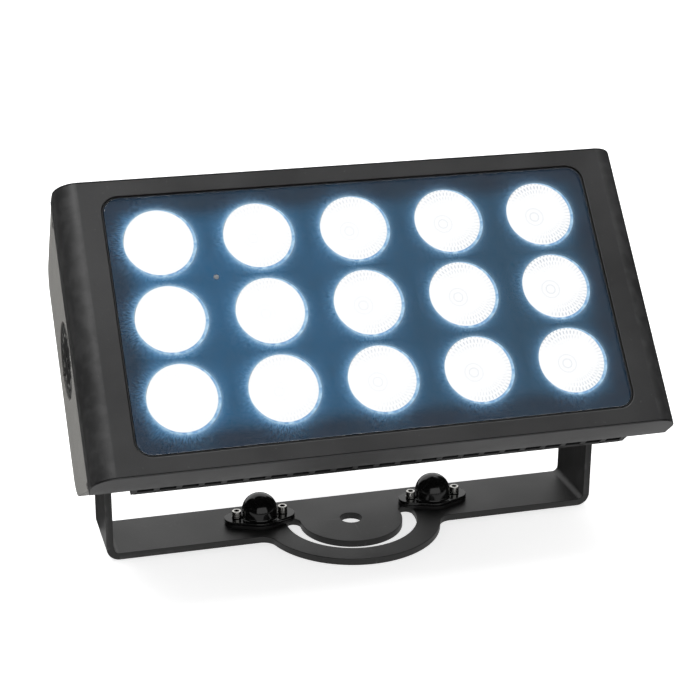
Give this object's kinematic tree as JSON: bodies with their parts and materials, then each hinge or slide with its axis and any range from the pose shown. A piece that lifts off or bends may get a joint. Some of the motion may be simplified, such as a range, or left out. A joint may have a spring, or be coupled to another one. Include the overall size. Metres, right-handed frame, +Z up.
{
  "type": "led floodlight",
  "caption": "Rectangular LED floodlight with a dark lens panel behind glass, a finned heat sink and side cheeks, tilting in a U-shaped yoke with an arc slot and quick-lock cups.",
  "frame": {"origin": "middle of the underside of the yoke's bar, on its centreline across and along", "axes": "+X along the bar and the tilt axis, to the right seen from the front; -Y towards the side that the light faces; +Z up"},
  "size_m": [0.324, 0.1666, 0.2129],
  "materials": {
    "satin_black": "satin, fine texture",
    "bezel_black": "painted black, satin, fine texture",
    "cheek_black": "painted black, satin, fine texture",
    "gloss_black": "gloss",
    "cam_black": "blackened",
    "rubber_black": "matt",
    "stainless": "bright",
    "pin_steel": "turned",
    "clear_glass": "clear",
    "lens_clear": "clear acrylic, dotted",
    "panel_dark": "satin",
    "board_white": "satin",
    "board_green": "satin",
    "sensor_grey": "satin",
    "anodised_black": "black anodised",
    "cast_black": "painted black, fine texture",
    "display_black": "gloss",
    "button_grey": "matt",
    "socket_black": "satin",
    "vent_grey": "matt",
    "supply_case": "brushed"
  },
  "bodies": {
    "bracket": {"yoke": "satin_black", "quick_lock_left": "gloss_black", "cam_plate_left": "cam_black", "scale_cap_left": "satin_black", "pivot_pin_left": "pin_steel", "friction_ring_left": "rubber_black", "quick_lock_screw_left_1": "stainless", "quick_lock_screw_left_2": "stainless", "scale_cap_screw_left_1": "stainless", "scale_cap_screw_left_2": "stainless", "quick_lock_right": "gloss_black", "cam_plate_right": "cam_black", "scale_cap_right": "satin_black", "pivot_pin_right": "pin_steel", "friction_ring_right": "rubber_black", "quick_lock_screw_right_1": "stainless", "quick_lock_screw_right_2": "stainless", "scale_cap_screw_right_1": "stainless", "scale_cap_screw_right_2": "stainless"},
    "head": {"front_bezel": "bezel_black", "side_cheek_left": "cheek_black", "side_cheek_right": "cheek_black", "window_gasket": "rubber_black", "front_glass": "clear_glass", "lens_panel": "panel_dark", "led_board": "board_white", "panel_sensor": "sensor_grey", "heat_sink": "anodised_black", "driver_housing": "cast_black", "rear_cover": "cast_black", "cover_gasket": "rubber_black", "display_window": "display_black", "control_board": "board_green", "safety_eye": "stainless", "pressure_vent": "vent_grey", "power_supply": "supply_case", "driver_board": "board_green", "data_outlet": "socket_black", "data_inlet": "socket_black", "power_inlet": "socket_black", "power_outlet": "socket_black", "lens_1_1": "lens_clear", "lens_1_2": "lens_clear", "lens_1_3": "lens_clear", "lens_1_4": "lens_clear", "lens_1_5": "lens_clear", "lens_2_1": "lens_clear", "lens_2_2": "lens_clear", "lens_2_3": "lens_clear", "lens_2_4": "lens_clear", "lens_2_5": "lens_clear", "lens_3_1": "lens_clear", "lens_3_2": "lens_clear", "lens_3_3": "lens_clear", "lens_3_4": "lens_clear", "lens_3_5": "lens_clear"},
    "menu_button_body": {"menu_button": "button_grey"},
    "down_button_body": {"down_button": "button_grey"},
    "up_button_body": {"up_button": "button_grey"},
    "enter_button_body": {"enter_button": "button_grey"}
  },
  "joints": [
    {"name": "head_tilt", "type": "hinge", "parent": "bracket", "child": "head", "pos_m": [0, -0.01, 0.1187], "axis": [-1, 0, 0], "range_deg": [-46.6, 73.4]},
    {"name": "menu_button_press", "type": "slide", "parent": "head", "child": "menu_button_body", "axis": [0, -0.7478, 0.6639], "range_m": [0, 0.001], "stiffness_N_per_m": 800, "springref_m": -0.0005},
    {"name": "down_button_press", "type": "slide", "parent": "head", "child": "down_button_body", "axis": [0, -0.7478, 0.6639], "range_m": [0, 0.001], "stiffness_N_per_m": 800, "springref_m": -0.0005},
    {"name": "up_button_press", "type": "slide", "parent": "head", "child": "up_button_body", "axis": [0, -0.7478, 0.6639], "range_m": [0, 0.001], "stiffness_N_per_m": 800, "springref_m": -0.0005},
    {"name": "enter_button_press", "type": "slide", "parent": "head", "child": "enter_button_body", "axis": [0, -0.7478, 0.6639], "range_m": [0, 0.001], "stiffness_N_per_m": 800, "springref_m": -0.0005}
  ]
}
